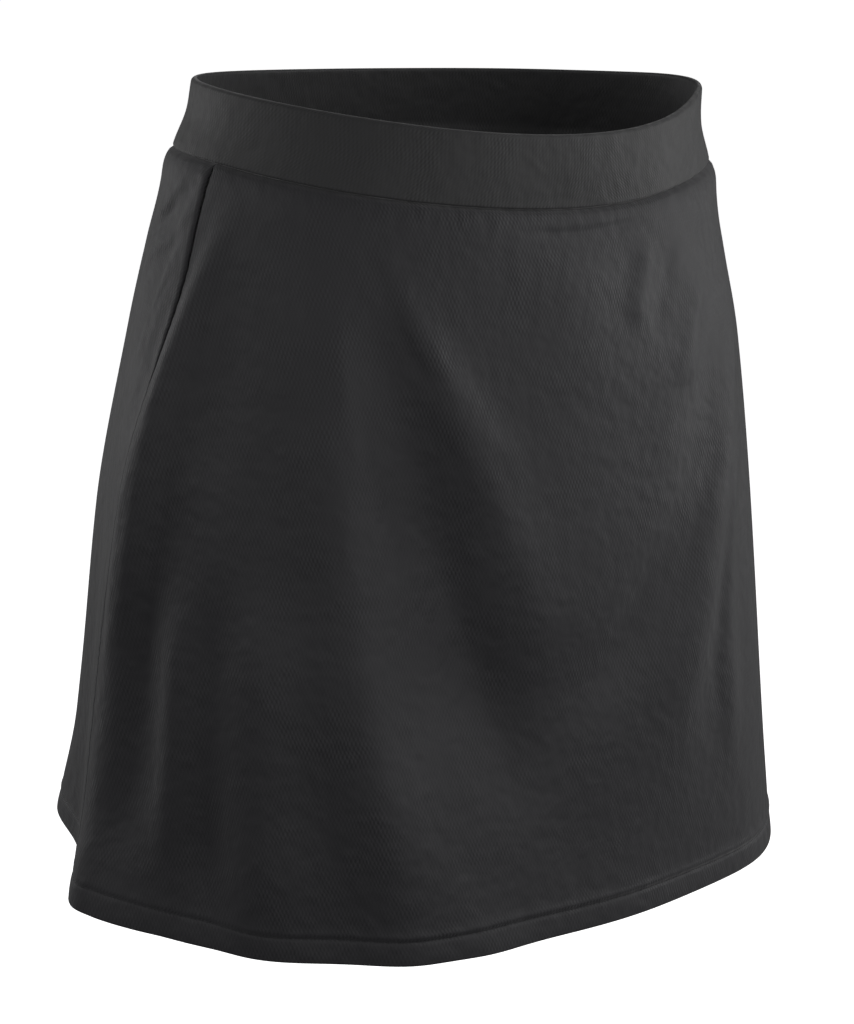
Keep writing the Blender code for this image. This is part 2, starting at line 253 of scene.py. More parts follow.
@dataclass(frozen=True)
class KnitFinish:
    """A knitted cloth: staggered dashes for a birdseye knit, or fine ribs for a jersey.

    One repeat of its stitches is a wale wide and a course high. A birdseye's grain comes and goes in
    patches. Every knit's colour and gloss cloud softly, and its surface rumples a little. Its colour
    follows the stitches' relief: painted shade in their hollows, and on the raised loops a lighter
    tone that is partly the knit's own and partly painted highlight.
    """

    name: str
    slot: str
    stitch: Stitch
    # The first colour below is painted shade for the stitches' hollows; the second is the raised loops'
    # own tone made lighter by painted highlight.
    hollow_shade: Colour
    lit_yarn: Colour
    wale: float
    course: float
    depth: float
    roughness: float
    sheen: float
    sheen_roughness: float
    specular: float = 0.35
    unevenness: float = 0.40
    cloud_patch: float = 0.045
    cloud_detail: float = 3.0
    cloud_gloss: float = 0.10
    wander_wales: float = 5.0
    grain_patch: float = 0.016
    grain_gain: float = 3.2
    grain_loss: float = 0.6
    loop_dip: float = 0.2
    rumple: float = 0.0008
    rumple_patch: float = 0.008

    def stitches(self, bench: NodeBench) -> Value:
        """Returns the knit's relief: about 0 in its hollows and about 1 on its yarn."""
        across, down = bench.cloth_place()
        wander = (bench.noise(self.wander_wales * self.wale) - 0.5) * self.wale
        across = across + wander
        if self.stitch is Stitch.BIRDSEYE:
            dashes = across.wave(self.wale) * (down + wander).wave(self.course)
            strength = self.grain_gain * bench.noise(self.grain_patch) - self.grain_loss
            return 0.5 + 0.5 * strength * dashes
        loops = (1.0 - self.loop_dip) + self.loop_dip * (down + wander).wave(self.course)
        return abs(across.wave(2.0 * self.wale)) * loops

    def material(self) -> bpy.types.Material:
        """Returns the finished material."""
        bench = NodeBench(self.name)
        relief = self.stitches(bench)
        cloud = bench.noise(self.cloud_patch, self.cloud_detail)
        # The base colour follows the stitch relief: painted shade where the knit dips and painted
        # highlight where it stands up, blended with a random cloud of tone.
        share = (1.0 - self.unevenness) * relief + self.unevenness * cloud
        bench.feed(bench.shader.inputs["Base Color"], bench.tint(share, self.hollow_shade, self.lit_yarn))
        gloss = self.roughness + self.cloud_gloss * (0.5 - cloud)
        bench.feed(bench.shader.inputs["Roughness"], gloss)
        bench.set_constants({
            "Metallic": 0.0,
            "Specular IOR Level": self.specular,
            "Sheen Weight": self.sheen,
            "Sheen Roughness": self.sheen_roughness,
        })
        soft = (self.rumple / self.depth) * (bench.noise(self.rumple_patch) - 0.5)
        bench.raise_surface(relief + soft, self.depth)
        return bench.material


@dataclass(frozen=True)
class ThreadFinish:
    """Twisted polyester sewing thread."""

    name: str
    slot: str
    shade: Colour
    shine: Colour
    twist: float = 0.0006
    depth: float = 0.00005
    roughness: float = 0.5
    specular: float = 0.4

    def material(self) -> bpy.types.Material:
        """Returns the finished material."""
        bench = NodeBench(self.name)
        across, down = bench.cloth_place()
        # The thread's colour follows its twist: painted shade between the plies and painted highlight on
        # them.
        ply = 0.5 + 0.5 * (across + down).wave(self.twist)
        bench.feed(bench.shader.inputs["Base Color"], bench.tint(ply, self.shade, self.shine))
        bench.set_constants({"Roughness": self.roughness, "Specular IOR Level": self.specular})
        bench.raise_surface(ply, self.depth)
        return bench.material


@dataclass(frozen=True)
class FloorFinish:
    """A white studio floor that glows softly, so that it stays white behind the cloth."""

    name: str
    white: Colour
    glow: float
    roughness: float = 0.9

    def material(self) -> bpy.types.Material:
        """Returns the finished material."""
        bench = NodeBench(self.name)
        bench.shader.inputs["Base Color"].default_value = self.white
        bench.shader.inputs["Emission Color"].default_value = self.white
        bench.set_constants({"Roughness": self.roughness, "Emission Strength": self.glow})
        return bench.material


@dataclass(frozen=True)
class Ring:
    """An oval section of the garment, with its tilt and the soft corners at its sides."""

    level: float
    half_width: float
    half_depth: float
    back_shift: float
    front_dip: float
    side_lift: float
    left_lift: float
    back_drop: float
    left_point: float
    right_point: float


@dataclass(frozen=True)
class Form:
    """The filled-out form: oval rings, joined by a smooth curve from level to level."""

    rings: tuple[Ring, ...]
    left_lift_angle: float = -60.0
    left_lift_width: float = 38.0
    left_drop_start: float = 20.0
    left_drop_reach: float = 48.0
    right_drop_start: float = 80.0
    right_drop_reach: float = 82.0
    left_point_angle: float = -65.0
    left_point_width: float = 17.0
    right_point_angle: float = 112.0
    right_point_width: float = 25.0

    def ring(self, level: Numbers) -> Ring:
        """Reads the section at each level, on a smooth curve between the rings.

        Args:
            level: The levels to read.

        Returns:
            One ring, whose values are arrays of level's shape.
        """
        table = np.array([astuple(ring) for ring in self.rings])
        levels = table[:, 0]
        before = np.vstack((table[:1], table[:-1]))
        after = np.vstack((table[1:], table[-1:]))
        slopes = (after - before) / (after - before)[:, :1]
        low = np.clip(np.searchsorted(levels, level, side="right") - 1, 0, len(levels) - 2)
        span = (levels[low + 1] - levels[low])[..., None]
        share = np.clip((level - levels[low])[..., None] / span, 0.0, 1.0)
        square, cube = share**2, share**3
        values = (
            (2 * cube - 3 * square + 1) * table[low]
            + (cube - 2 * square + share) * span * slopes[low]
            + (3 * square - 2 * cube) * table[low + 1]
            + (cube - square) * span * slopes[low + 1]
        )
        return Ring(*np.moveaxis(values, -1, 0))

    def place(self, angle: Numbers, level: Numbers, relief: Numbers) -> Numbers:
        """Finds points on the form.

        Args:
            angle: Where they lie round the garment.
            level: How far down they lie.
            relief: How far out from the oval they stand.

        Returns:
            The points, with one more axis than angle.
        """
        ring = self.ring(level)
        turn = np.radians(angle)
        across, along = np.sin(turn) / ring.half_width, np.cos(turn) / ring.half_depth
        length = np.hypot(across, along)
        left = turned(angle - self.left_point_angle) / self.left_point_width
        right = turned(angle - self.right_point_angle) / self.right_point_width
        out = relief + ring.left_point * mound(left) + ring.right_point * mound(right)
        lift = ring.left_lift * mound(turned(angle - self.left_lift_angle) / self.left_lift_width)
        lift = lift - ring.front_dip * np.cos(turn) - ring.side_lift * np.cos(2.0 * turn)
        lift = lift - ring.back_drop * self.toward_back(angle)
        return np.stack(
            (
                -ring.half_width * np.sin(turn) - out * across / length,
                ring.back_shift - ring.half_depth * np.cos(turn) - out * along / length,
                SEAM_LEVEL - level + lift,
            ),
            axis=-1,
        )

    def toward_back(self, angle: Numbers) -> Numbers:
        """Returns 0 round the front and 1 round the back, with a soft step at each side."""
        side = turned(angle)
        right = (side - self.right_drop_start) / self.right_drop_reach
        left = (-side - self.left_drop_start) / self.left_drop_reach
        return ease(np.where(side > 0.0, right, left))


# Each ring: its level, half width and half depth, back shift, front dip, side lift, left lift,
# back drop, left point and right point
SKIRT_FORM = Form((
    Ring(-0.0300, 0.1379, 0.0974, 0.0000, 0.0090, 0.0034, 0.0088, 0.0000, 0.0042, 0.0006),
    Ring(-0.0150, 0.1418, 0.0994, 0.0000, 0.0112, 0.0029, 0.0094, 0.0022, 0.0000, -0.0010),
    Ring(0.0000, 0.1463, 0.1016, 0.0000, 0.0134, 0.0024, 0.0100, 0.0065, 0.0032, 0.0021),
    Ring(0.0160, 0.1513, 0.1055, 0.0000, 0.0132, 0.0022, 0.0092, 0.0060, 0.0004, 0.0004),
    Ring(0.0425, 0.1593, 0.1118, -0.0001, 0.0128, 0.0019, 0.0080, 0.0040, 0.0000, 0.0009),
    Ring(0.0850, 0.1705, 0.1205, -0.0003, 0.0122, 0.0013, 0.0061, 0.0015, 0.0000, 0.0000),
    Ring(0.1700, 0.1854, 0.1321, -0.0005, 0.0110, 0.0002, 0.0022, 0.0000, 0.0000, 0.0000),
    Ring(0.2550, 0.1963, 0.1407, -0.0008, 0.0098, -0.0009, -0.0018, 0.0000, 0.0000, 0.0000),
    Ring(0.3400, 0.2066, 0.1487, -0.0011, 0.0086, -0.0033, -0.0057, 0.0000, 0.0000, 0.0000),
))

SHORTS_FORM = Form((
    Ring(0.0000, 0.1431, 0.0984, 0.0000, 0.0134, 0.0024, 0.0100, 0.0065, 0.0030, 0.0018),
    Ring(0.0300, 0.1490, 0.1034, 0.0000, 0.0126, 0.0020, 0.0086, 0.0050, 0.0000, 0.0000),
    Ring(0.0800, 0.1580, 0.1100, 0.0000, 0.0100, 0.0012, 0.0056, 0.0015, 0.0000, 0.0000),
    Ring(0.1400, 0.1640, 0.1145, 0.0000, 0.0060, 0.0000, 0.0024, 0.0000, 0.0000, 0.0000),
    Ring(0.2000, 0.1665, 0.1140, 0.0000, 0.0020, 0.0000, 0.0000, 0.0000, 0.0000, 0.0000),
    Ring(0.2500, 0.1665, 0.1090, 0.0000, 0.0000, 0.0000, 0.0000, 0.0000, 0.0000, 0.0000),
))


@dataclass(frozen=True)
class Fold:
    """A soft ridge, or with a negative depth a trough, that runs down the skirt.

    It starts at one level, is full at the next, and with an end other than 0 has gone there.
    """

    top_angle: float
    hem_angle: float
    bow: float
    start: float
    full: float
    end: float
    front_width: float
    back_width: float
    depth: float

    def relief(self, angle: Numbers, level: Numbers) -> Numbers:
        """Returns how far the fold lifts the cloth at each place."""
        strength = ease((level - self.start) / (self.full - self.start))
        if self.end:
            strength = strength * (1.0 - ease((level - self.full) / (self.end - self.full)))
        share = np.clip(level / SKIRT_LENGTH, 0.0, 1.0)
        line = self.top_angle + (self.hem_angle - self.top_angle) * share
        away = turned(angle - line - 4.0 * self.bow * share * (1.0 - share))
        width = np.where(away > 0.0, self.back_width, self.front_width)
        return strength * self.depth * mound(away / width)


@dataclass(frozen=True)
class Crease:
    """A fine ridge, or with a negative depth a trough, along a path that dies away at its ends.

    The path is a row of places, each an angle and a level. Width and depth are in metres, and
    degree is the width that a degree counts for.
    """

    path: tuple[tuple[float, float], ...]
    width: float
    depth: float
    degree: float = 0.0024
    fade: float = 0.3

    def relief(self, angle: Numbers, level: Numbers) -> Numbers:
        """Returns how far the crease lifts the cloth at each place."""
        places = np.array(self.path)
        across = turned(angle - places[0, 0]) * self.degree
        places = np.stack((turned(places[:, 0] - places[0, 0]) * self.degree, places[:, 1]), axis=1)
        steps = np.diff(places, axis=0)
        lengths = np.hypot(steps[:, 0], steps[:, 1])
        away = np.full(np.shape(level), np.inf)
        along = np.zeros(np.shape(level))
        for place, step, length, before in zip(places, steps, lengths, lengths.cumsum() - lengths):
            aside, down = across - place[0], level - place[1]
            share = np.clip((aside * step[0] + down * step[1]) / length**2, 0.0, 1.0)
            here = np.hypot(aside - share * step[0], down - share * step[1])
            along = np.where(here < away, (before + share * length) / lengths.sum(), along)
            away = np.minimum(away, here)
        strength = ease(np.minimum(along, 1.0 - along) / self.fade)
        return self.depth * strength * mound(away / self.width)


@dataclass(frozen=True)
class SideSeam:
    """A side seam: its angle at the waist and, once it has turned, at the hem."""

    top_angle: float
    hem_angle: float
    turn_start: float = 0.040
    turn_reach: float = 0.240

    def angle(self, level: Numbers) -> Numbers:
        """Returns the seam's angle at each level."""
        share = ease((level - self.turn_start) / self.turn_reach)
        return self.top_angle + (self.hem_angle - self.top_angle) * share


RIGHT_SEAM = SideSeam(87.0, 100.0)
LEFT_SEAM = SideSeam(-88.0, -96.0)

# Each fold: its angles at the top and at the hem, its bow, the levels where it starts, is full and
# has gone, its widths towards the front and the back, and its depth
FOLDS = (
    # Wearer's right: the crest over the side seam, the trough behind it and the next rolls
    Fold(88.0, 82.0, 0.0, 0.040, 0.145, 0.0, 13.0, 13.0, 0.0088),
    Fold(77.0, 94.0, 5.5, 0.004, 0.055, 0.300, 4.0, 3.0, 0.0050),
    Fold(88.0, 106.0, 1.0, 0.004, 0.032, 0.150, 6.0, 3.0, 0.0022),
    Fold(92.0, 92.0, 0.0, 0.290, 0.338, 0.0, 8.0, 7.0, 0.0080),
    Fold(120.5, 115.5, 0.5, 0.020, 0.330, 0.0, 13.0, 13.0, -0.0110),
    Fold(132.0, 133.0, -6.0, 0.036, 0.175, 0.0, 11.0, 11.0, 0.0068),
    Fold(135.0, 137.0, -1.0, 0.280, 0.340, 0.0, 9.0, 11.0, 0.0060),
    # The troughs in front of the crest
    Fold(68.5, 90.0, 1.0, 0.018, 0.128, 0.0, 8.0, 5.0, -0.0064),
    Fold(71.5, 78.0, 7.5, 0.130, 0.287, 0.0, 9.0, 12.0, -0.0115),
    Fold(70.0, 66.0, 2.5, 0.220, 0.320, 0.0, 7.0, 9.0, -0.0060),
    # Front: the long diagonals from the right hip towards the centre of the hem
    Fold(54.5, 36.0, 1.5, 0.004, 0.140, 0.0, 6.0, 7.0, 0.0058),
    Fold(54.5, 16.5, -5.0, 0.004, 0.200, 0.300, 6.0, 9.5, -0.0130),
    Fold(53.0, 13.0, -15.0, 0.010, 0.070, 0.260, 5.0, 4.0, 0.0042),
    Fold(54.0, 26.0, 10.0, 0.160, 0.268, 0.0, 7.0, 9.5, 0.0053),
    # Front: the swell under the waist and the long diagonals from the left hip
    Fold(9.0, -6.0, 1.0, 0.012, 0.037, 0.100, 11.0, 13.0, 0.0031),
    Fold(-23.5, 50.0, -13.0, 0.036, 0.090, 0.220, 6.5, 6.5, 0.0018),
    Fold(-61.0, -13.0, 20.0, 0.028, 0.150, 0.330, 6.5, 8.5, 0.0092),
    Fold(-68.0, -31.5, 15.0, 0.090, 0.335, 0.0, 12.5, 13.0, 0.0052),
    # Wearer's left
    Fold(-43.0, -65.0, 1.0, 0.004, 0.290, 0.0, 9.5, 13.0, -0.0015),
    Fold(-84.0, -91.0, -2.0, 0.030, 0.290, 0.0, 7.0, 8.0, 0.0100),
    Fold(-108.0, -113.0, 0.0, 0.070, 0.300, 0.0, 9.0, 8.0, -0.0080),
    # Back
    Fold(158.0, 161.0, 3.0, 0.060, 0.310, 0.0, 8.0, 9.0, -0.0070),
    Fold(179.0, 183.0, -3.0, 0.050, 0.290, 0.0, 9.0, 9.0, 0.0075),
    Fold(201.0, 204.0, 2.0, 0.080, 0.320, 0.0, 8.0, 8.0, -0.0060),
    Fold(224.0, 226.0, 3.0, 0.060, 0.300, 0.0, 9.0, 9.0, 0.0080),
)

# Each crease: its path, width and depth
CREASES = (
    # Drag lines that fan down and back from the right side seam
    Crease(((93.0, 0.008), (98.0, 0.015), (103.0, 0.024), (110.0, 0.031)), 0.0028, 0.0010),
    Crease(((95.0, 0.019), (103.0, 0.030), (113.0, 0.043)), 0.0030, -0.0015),
    Crease(
        path=((88.0, 0.012), (92.0, 0.027), (97.0, 0.036), (102.0, 0.042), (111.0, 0.060)),
        width=0.0032,
        depth=0.0013,
    ),
    Crease(((91.0, 0.043), (94.0, 0.062), (97.0, 0.082)), 0.0022, -0.0007),
    Crease(((91.5, 0.034), (94.5, 0.058), (96.5, 0.078), (98.0, 0.100)), 0.0032, 0.0009),
    Crease(((92.0, 0.034), (96.5, 0.038)), 0.0013, 0.0004),
    Crease(((92.0, 0.045), (95.5, 0.048)), 0.0012, 0.0003),
    # The fine crest in front of the right side seam and the sharp trough beside it
    Crease(
        path=((77.5, 0.020), (79.5, 0.040), (82.5, 0.065), (85.2, 0.100), (86.3, 0.147),
              (88.8, 0.190), (93.5, 0.225)),
        width=0.0036,
        depth=0.0018,
    ),
    Crease(
        path=((75.5, 0.020), (77.5, 0.040), (80.2, 0.065), (82.4, 0.100), (83.3, 0.147),
              (85.5, 0.200), (88.0, 0.264)),
        width=0.0048,
        depth=-0.0020,
    ),
    Crease(
        path=((74.5, 0.030), (77.0, 0.070), (80.0, 0.110), (83.0, 0.160), (85.5, 0.210),
              (88.0, 0.270)),
        width=0.0110,
        depth=-0.0020,
    ),
    Crease(((84.0, 0.285), (78.0, 0.296), (74.0, 0.296)), 0.0050, 0.0004),
    Crease(((69.0, 0.040), (69.5, 0.092)), 0.0040, 0.0004),
    # Front: the narrow dark trough over the hem, with a ridge on each side
    Crease(((69.0, 0.160), (69.5, 0.210), (69.5, 0.250), (69.0, 0.290), (68.5, 0.345)), 0.0135, -0.0058),
    Crease(((62.0, 0.160), (60.5, 0.210), (58.5, 0.250), (56.0, 0.350)), 0.0160, 0.0046),
    Crease(((77.0, 0.170), (77.0, 0.230), (76.5, 0.320)), 0.0100, 0.0032),
    Crease(((75.0, 0.040), (76.5, 0.080), (77.0, 0.120), (78.0, 0.160)), 0.0080, 0.0014),
    # Front: thin lines beside the long diagonals, and one trough across under the waistband
    Crease(((50.0, 0.016), (44.0, 0.038), (38.0, 0.066), (32.0, 0.090)), 0.0040, -0.0014),
    Crease(((42.0, 0.034), (36.0, 0.058), (29.0, 0.082), (22.0, 0.108), (16.0, 0.130)), 0.0060, 0.0009),
    Crease(((54.0, 0.040), (49.5, 0.080), (45.0, 0.120), (39.5, 0.165), (34.0, 0.205)), 0.0050, 0.0010),
    Crease(
        path=((22.0, 0.0092), (12.0, 0.0102), (2.0, 0.0098), (-8.0, 0.0086), (-13.5, 0.0096)),
        width=0.0028,
        depth=-0.0014,
    ),
    # Front: short pull lines under the waistband, and one over the stitches of the hem
    Crease(((-12.0, 0.014), (-7.5, 0.036), (-4.0, 0.060)), 0.0060, 0.0027),
    Crease(((-20.0, 0.018), (-14.5, 0.042), (-9.0, 0.066)), 0.0055, -0.0014),
    Crease(((-29.0, 0.034), (-21.0, 0.062), (-14.0, 0.094)), 0.0085, 0.0026),
    Crease(((10.0, 0.298), (9.6, 0.312), (10.2, 0.328)), 0.0016, -0.0009),
    # Front: the broad trough from the left hip, and the roll beyond it with its crisp edge
    Crease(
        path=((-29.0, 0.080), (-21.0, 0.120), (-12.0, 0.162), (0.0, 0.205), (14.0, 0.250)),
        width=0.0130,
        depth=-0.0040,
    ),
    Crease(((14.0, 0.180), (13.0, 0.240), (11.0, 0.290), (10.0, 0.335)), 0.0220, -0.0030),
    Crease(((-26.5, 0.108), (-17.5, 0.144), (-11.0, 0.178), (-6.0, 0.206)), 0.0042, -0.0012),
    Crease(
        path=((-40.0, 0.090), (-33.0, 0.125), (-28.0, 0.155), (-25.0, 0.185), (-23.5, 0.220),
              (-22.0, 0.300)),
        width=0.0070,
        depth=0.0034,
    ),
    Crease(
        path=((-31.5, 0.105), (-26.5, 0.150), (-23.0, 0.190), (-21.0, 0.230), (-20.3, 0.265)),
        width=0.0030,
        depth=0.0011,
    ),
    Crease(
        path=((-46.0, 0.110), (-38.0, 0.145), (-32.5, 0.180), (-30.0, 0.220), (-29.0, 0.280)),
        width=0.0075,
        depth=-0.0010,
    ),
    # The wearer's left and the back: the same pull lines from the other seam and the waist
    Crease(((-93.0, 0.010), (-100.0, 0.026), (-112.0, 0.044)), 0.0030, 0.0010),
    Crease(((-91.0, 0.022), (-98.0, 0.046), (-108.0, 0.070)), 0.0032, -0.0008),
    Crease(((-90.0, 0.036), (-94.0, 0.066), (-98.0, 0.100)), 0.0032, 0.0008),
    Crease(((146.0, 0.010), (158.0, 0.014), (170.0, 0.011)), 0.0020, -0.0010),
    Crease(((206.0, 0.014), (200.0, 0.036), (198.0, 0.062)), 0.0040, 0.0008),
    Crease(((212.0, 0.016), (207.0, 0.040), (205.0, 0.070)), 0.0040, -0.0008),
    Crease(((166.0, 0.040), (172.0, 0.070), (174.0, 0.110)), 0.0044, 0.0008),
    Crease(((214.0, 0.090), (206.0, 0.130), (198.0, 0.170), (190.0, 0.230)), 0.0110, -0.0020),
    Crease(((150.0, 0.110), (157.0, 0.150), (163.0, 0.200), (166.0, 0.260)), 0.0090, 0.0018),
)


@dataclass(frozen=True)
class Swell:
    """A broad, low unevenness: two waves, each round and down the skirt, one times the other.

    Its height is a share of the drape's swell_height.
    """

    height: float
    first_round: float
    first_down: float
    first_start: float
    second_round: float
    second_down: float

    def relief(self, turn: Numbers, level: Numbers) -> Numbers:
        """Returns the swell's height at each turn, in radians, and level."""
        first = np.sin(self.first_round * turn + self.first_down * level + self.first_start)
        second = np.sin(self.second_down * level + self.second_round * turn)
        return self.height * first * second


SWELLS = (
    Swell(1.0, 5.0, 14.0, 0.6, 2.0, 11.0),
    Swell(0.6, 13.0, -21.0, 0.0, 3.0, 29.0),
)


@dataclass(frozen=True)
class SkirtDrape:
    """How the skirt's outer face stands out from its form: folds, creases, seams and hem.

    Its hem is fainter round one angle and sharper round another. Along a seam the cloth puckers in
    waves that drift and fade over lengths of their own. The hem's puff follows a sine up to
    hem_round degrees.
    """

    folds: tuple[Fold, ...] = FOLDS
    creases: tuple[Crease, ...] = CREASES
    swells: tuple[Swell, ...] = SWELLS
    swell_height: float = 0.0005
    swell_reach: float = 0.08
    waist_puff: float = 0.0026
    waist_puff_level: float = 0.010
    hem_puff: float = 0.0006
    hem_round: float = 110.0
    hem_lip: float = 0.0004
    hem_lip_rise: float = 0.0026
    hem_lip_reach: float = 0.0016
    stitch_tuck: float = 0.0006
    stitch_reach: float = 0.0009
    faint_angle: float = 82.0
    faint_reach: float = 34.0
    faint_share: float = 0.6
    sharp_angle: float = -20.0
    sharp_reach: float = 50.0
    sharp_gain: float = 0.8
    pucker: float = 0.00016
    pucker_length: float = 0.0074
    pucker_drift: float = 0.9
    drift_length: float = 0.0093
    fade_length: float = 0.0171
    hem_pucker_pace: float = 1.1
    hem_pucker_reach: float = 0.006
    waist_pucker: float = 0.00022
    waist_pucker_level: float = 0.004
    waist_pucker_reach: float = 0.005

    def puckers(self, along: Numbers) -> Numbers:
        """Returns the small uneven waves that sewing leaves along a seam, from -1 to 1."""
        drift = self.pucker_drift * self.pucker_length * np.sin(along / self.drift_length)
        waves = np.sin(2.0 * np.pi * (along + drift) / self.pucker_length)
        return waves * np.cos(along / self.fade_length)

    def seam_relief(self, angle: Numbers, level: Numbers, along: Numbers) -> Numbers:
        """Returns the relief round the waist seam and the hem's stitching."""
        faint = self.faint_share * mound(turned(angle - self.faint_angle) / self.faint_reach)
        sharp = self.sharp_gain * mound(turned(angle - self.sharp_angle) / self.sharp_reach)
        puff = self.waist_puff * level / self.waist_puff_level
        puff = puff * np.exp(1.0 - level / self.waist_puff_level)
        gathered = mound((level - self.waist_pucker_level) / self.waist_pucker_reach)
        gather = self.waist_pucker * self.puckers(along) * gathered
        into_hem = level - HEM_LINE
        lip = self.hem_lip * mound((into_hem + self.hem_lip_rise) / self.hem_lip_reach)
        lip = lip * (1.0 + sharp) * (1.0 - faint)
        tuck = self.stitch_tuck * (1.0 - faint) * mound(into_hem / self.stitch_reach)
        round_hem = np.radians(self.hem_round) * np.clip(into_hem / HEM_DEPTH, 0.0, 1.0)
        band = self.hem_puff * np.sin(round_hem)
        waves = self.pucker * self.puckers(along * self.hem_pucker_pace)
        waves = waves * mound(into_hem / self.hem_pucker_reach)
        return puff + gather + lip - tuck + band + waves

    def relief(self, angle: Numbers, level: Numbers) -> Numbers:
        """Finds how far the cloth stands out.

        Args:
            angle: Where the places lie round the skirt.
            level: How far down they lie.

        Returns:
            The relief at each place, in metres.
        """
        shapes = (*self.folds, *self.creases)
        total = sum(shape.relief(angle, level) for shape in shapes)
        turn = np.radians(angle)
        along = turn * SKIRT_FORM.ring(level).half_depth
        swell = sum(wave.relief(turn, level) for wave in self.swells)
        total = total + self.swell_height * swell * ease(level / self.swell_reach)
        return total + self.seam_relief(angle, level, along)


def make_piece(
    name: str, points: Numbers, faces: Numbers, places: Numbers, finish: KnitFinish | ThreadFinish
) -> bpy.types.Object:
    """Makes an object that rides on the garment's body.

    Args:
        name: The piece's name.
        points: Its points in metres, one a row.
        faces: The numbers of the four points of each face.
        places: How far across and down the cloth each corner of each face lies, in metres.
        finish: What it is made of.

    Returns:
        The new object.
    """
    mesh = bpy.data.meshes.new(name)
    mesh.from_pydata(points.tolist(), [], faces.tolist())
    layer = mesh.uv_layers.new(name=CLOTH_MAP)
    layer.data.foreach_set("uv", places.reshape(-1).astype(np.float32))
    mesh.shade_smooth()
    mesh.materials.append(finish.material())
    piece = bpy.data.objects.new(name, mesh)
    bpy.context.scene.collection.objects.link(piece)
    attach(piece, BODY)
    return piece


@dataclass(frozen=True)
class Cloth:
    """A thin piece of cloth: its right side's points, rows by columns.

    In a closed piece the last column joins the first.
    """

    name: str
    points: Numbers
    closed: bool

    def cloth_map(self) -> Numbers:
        """Returns how far across and down the cloth each point lies, in metres."""
        points = self.points
        if self.closed:
            points = np.concatenate((points, points[:, :1]), axis=1)
        across = np.linalg.norm(np.diff(points, axis=1), axis=-1).cumsum(axis=1)
        across = np.concatenate((np.zeros((len(points), 1)), across), axis=1)
        across = across - across[:, -1:] / 2.0
        down = np.linalg.norm(np.diff(points, axis=0), axis=-1).cumsum(axis=0)
        down = np.concatenate((np.zeros((1, points.shape[1])), down), axis=0)
        return np.stack((across, down), axis=-1)

    def build(self, wall: float, finish: KnitFinish) -> bpy.types.Object:
        """Makes the piece.

        Args:
            wall: How thick the cloth is.
            finish: What it is knitted of.

        Returns:
            The new object, which rides on the garment's body.
        """
        rows, columns = self.points.shape[:2]
        spans = columns if self.closed else columns - 1
        row, column = np.meshgrid(np.arange(rows - 1), np.arange(spans), indexing="ij")
        after = (column + 1) % columns
        corners = (
            row * columns + column,
            row * columns + after,
            (row + 1) * columns + after,
            (row + 1) * columns + column,
        )
        faces = np.stack(corners, axis=-1).reshape(-1, 4)
        flat = self.cloth_map()
        places = np.stack(
            (
                flat[row, column],
                flat[row, column + 1],
                flat[row + 1, column + 1],
                flat[row + 1, column],
            ),
            axis=2,
        )
        piece = make_piece(self.name, self.points.reshape(-1, 3), faces, places, finish)
        shell = piece.modifiers.new("Wall", "SOLIDIFY")
        shell.thickness = wall
        shell.offset = -1.0
        return piece


@dataclass(frozen=True)
class ThreadRun:
    """Many short lengths of thread, made as one mesh."""

    name: str
    finish: ThreadFinish
    radius: float = 0.00017
    sides: int = 6
    tip_share: float = 0.02
    bluntness: int = 4

    def tube(self, path: Numbers) -> tuple[Numbers, Numbers, Numbers]:
        """Makes a round tube with pointed ends for each path.

        Args:
            path: The paths, as paths by points by coordinates.

        Returns:
            The tubes' points, their four-sided faces, and each point's share along its tube.
        """
        count, steps = path.shape[:2]
        ahead = np.gradient(path, axis=1)
        ahead = ahead / np.linalg.norm(ahead, axis=-1, keepdims=True)
        across = np.cross(ahead, (0.0, 0.0, 1.0))
        across = across / np.linalg.norm(across, axis=-1, keepdims=True)
        up = np.cross(across, ahead)
        turn = np.linspace(0.0, 2.0 * np.pi, self.sides, endpoint=False)
        share = np.linspace(0.0, 1.0, steps)
        fullness = 1.0 - (2.0 * share - 1.0) ** self.bluntness
        girth = self.radius * np.sqrt(np.clip(fullness, self.tip_share, 1.0))
        ring = across[:, :, None] * np.cos(turn)[:, None] + up[:, :, None] * np.sin(turn)[:, None]
        points = path[:, :, None] + ring * girth[:, None, None]
        tube, step, side = np.meshgrid(
            np.arange(count), np.arange(steps - 1), np.arange(self.sides), indexing="ij"
        )
        start = (tube * steps + step) * self.sides
        after = (side + 1) % self.sides
        corners = (start + side, start + after, start + self.sides + after, start + self.sides + side)
        along = np.broadcast_to(share[:, None], (count, steps, self.sides))
        return points.reshape(-1, 3), np.stack(corners, axis=-1).reshape(-1, 4), along.reshape(-1)

    def build(self, path: Numbers) -> bpy.types.Object:
        """Makes the thread along its paths.

        Args:
            path: The paths, as paths by points by coordinates.

        Returns:
            The new object, which rides on the garment's body.
        """
        points, faces, along = self.tube(path)
        length = np.linalg.norm(np.diff(path[0], axis=0), axis=-1).sum()
        side = np.tile(np.arange(self.sides), len(points) // self.sides) * self.radius
        places = np.stack((side, along * length), axis=-1)[faces]
        return make_piece(self.name, points, faces, places, self.finish)


